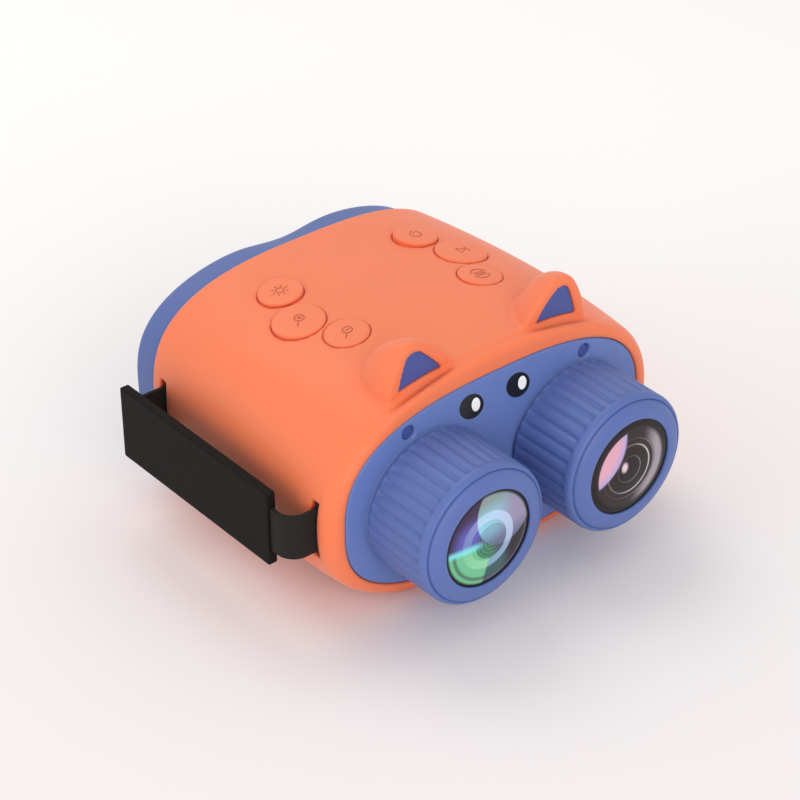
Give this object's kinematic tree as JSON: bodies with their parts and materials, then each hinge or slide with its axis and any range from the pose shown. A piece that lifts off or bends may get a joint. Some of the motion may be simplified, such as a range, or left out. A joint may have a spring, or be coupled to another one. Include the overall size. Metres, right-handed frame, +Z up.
{
  "type": "kids digital camera",
  "caption": "Child's digital camera shaped like binoculars, in a soft sleeve with cat ears, with turning lens rings, keys, a port flap, an eye hood and a hand strap.",
  "frame": {"origin": "on the flat base, in the middle of the body between the two lenses", "axes": "+Z up, the lenses face -Y, the eye hood faces +Y, the hand strap is on the -X side"},
  "size_m": [0.1371, 0.1329, 0.0848],
  "materials": {
    "sleeve_orange": "matte moulded silicone",
    "key_orange": "matte moulded silicone, domed keys",
    "shell_blue": "fine-grained moulded ABS",
    "ring_blue": "fine-grained moulded ABS, ribbed grip",
    "ear_blue": "matte moulded insert",
    "hood_blue": "soft-touch thermoplastic rubber",
    "print_black": "printed ink",
    "print_white": "printed ink",
    "coated_glass": "coated, convex",
    "window_clear": "clear acrylic",
    "filter_glass": "infrared cut filter",
    "lens_black": "black moulded, satin",
    "display_black": "display glass, off",
    "foam_black": "foam gasket",
    "board_green": "solder mask",
    "socket_steel": "stamped shell",
    "switch_black": "moulded",
    "sensor_gold": "sensor package",
    "lamp_white": "lamp package and dome",
    "seal_rubber": "greased nitrile ring",
    "cell_silver": "laminated foil pouch",
    "lead_red": "flat twin-core lead",
    "speaker_black": "moulded frame",
    "insert_brass": "turned, knurled outside",
    "screw_steel": "plated",
    "bar_steel": "plain wire rod",
    "webbing_black": "woven nylon webbing",
    "pad_black": "fine-grained moulded pad",
    "ribbon_amber": "polyimide flexible circuit"
  },
  "bodies": {
    "camera_body": {"silicone_sleeve": "sleeve_orange", "ear_inserts": "ear_blue", "housing": "shell_blue", "face_plate": "shell_blue", "eye_discs": "print_black", "eye_glints": "print_white", "rear_cover": "shell_blue", "eye_hood": "hood_blue", "display_window": "window_clear", "display_panel": "display_black", "display_gasket": "foam_black", "main_board": "board_green", "port_board": "board_green", "usb_socket": "socket_steel", "card_socket": "socket_steel", "switch_board_left": "board_green", "switch_board_right": "board_green", "tact_switches": "switch_black", "camera_board": "board_green", "image_sensor": "sensor_gold", "sensor_holder": "lens_black", "ir_cut_filter": "filter_glass", "lamp_board": "board_green", "ir_lamp": "lamp_white", "ring_seal_left": "seal_rubber", "ring_seal_right": "seal_rubber", "battery_cell": "cell_silver", "battery_lead": "lead_red", "speaker": "speaker_black", "speaker_lead": "lead_red", "microphone": "socket_steel", "tripod_insert": "insert_brass", "case_screws": "screw_steel", "board_screws": "screw_steel", "strap_bars": "bar_steel", "strap_webbing": "webbing_black", "strap_pad": "pad_black", "sensor_ribbon": "ribbon_amber", "display_ribbon": "ribbon_amber"},
    "left_ring": {"focus_ring_left": "ring_blue", "objective_glass_left": "coated_glass", "bezel_left": "lens_black"},
    "left_carriage": {"lens_carriage": "lens_black", "lens_barrel": "lens_black", "lens_element": "coated_glass"},
    "right_ring": {"focus_ring_right": "ring_blue", "objective_glass_right": "coated_glass", "bezel_right": "lens_black"},
    "right_carriage": {"beam_carriage": "lens_black", "beam_lens": "coated_glass"},
    "key_light_body": {"key_light": "key_orange"},
    "key_zoom_in_body": {"key_zoom_in": "key_orange"},
    "key_zoom_out_body": {"key_zoom_out": "key_orange"},
    "key_power_body": {"key_power": "key_orange"},
    "key_play_body": {"key_play": "key_orange"},
    "key_menu_body": {"key_menu": "key_orange"},
    "flap": {"port_flap": "key_orange"}
  },
  "joints": [
    {"name": "left_ring_turn", "type": "hinge", "parent": "camera_body", "child": "left_ring", "pos_m": [-0.0277, -0.06, 0.035], "axis": [0, -1, 0], "range_deg": [-60, 60]},
    {"name": "left_focus_slide", "type": "slide", "parent": "camera_body", "child": "left_carriage", "axis": [0, -1, 0], "range_m": [-0.00061, 0.00061]},
    {"name": "right_ring_turn", "type": "hinge", "parent": "camera_body", "child": "right_ring", "pos_m": [0.0277, -0.06, 0.035], "axis": [0, -1, 0], "range_deg": [-60, 60]},
    {"name": "right_beam_slide", "type": "slide", "parent": "camera_body", "child": "right_carriage", "axis": [0, -1, 0], "range_m": [-0.00152, 0.00152]},
    {"name": "key_light_press", "type": "slide", "parent": "camera_body", "child": "key_light_body", "axis": [0.1478, 0, -0.989], "range_m": [0, 0.0008], "stiffness_N_per_m": 600},
    {"name": "key_zoom_in_press", "type": "slide", "parent": "camera_body", "child": "key_zoom_in_body", "axis": [0.1478, 0, -0.989], "range_m": [0, 0.0008], "stiffness_N_per_m": 600},
    {"name": "key_zoom_out_press", "type": "slide", "parent": "camera_body", "child": "key_zoom_out_body", "axis": [0.1478, 0, -0.989], "range_m": [0, 0.0008], "stiffness_N_per_m": 600},
    {"name": "key_power_press", "type": "slide", "parent": "camera_body", "child": "key_power_body", "axis": [-0.1478, 0, -0.989], "range_m": [0, 0.0008], "stiffness_N_per_m": 600},
    {"name": "key_play_press", "type": "slide", "parent": "camera_body", "child": "key_play_body", "axis": [-0.1478, 0, -0.989], "range_m": [0, 0.0008], "stiffness_N_per_m": 600},
    {"name": "key_menu_press", "type": "slide", "parent": "camera_body", "child": "key_menu_body", "axis": [-0.1478, 0, -0.989], "range_m": [0, 0.0008], "stiffness_N_per_m": 600},
    {"name": "flap_open", "type": "hinge", "parent": "camera_body", "child": "flap", "pos_m": [0.06035, 0.028, 0.035], "axis": [0, 0, 1], "range_deg": [0, 100]}
  ],
  "couplings": [
    {"joint": "left_focus_slide", "follows": "left_ring_turn", "m_per_rad": 0.00057296},
    {"joint": "right_beam_slide", "follows": "right_ring_turn", "m_per_rad": 0.0014324}
  ]
}
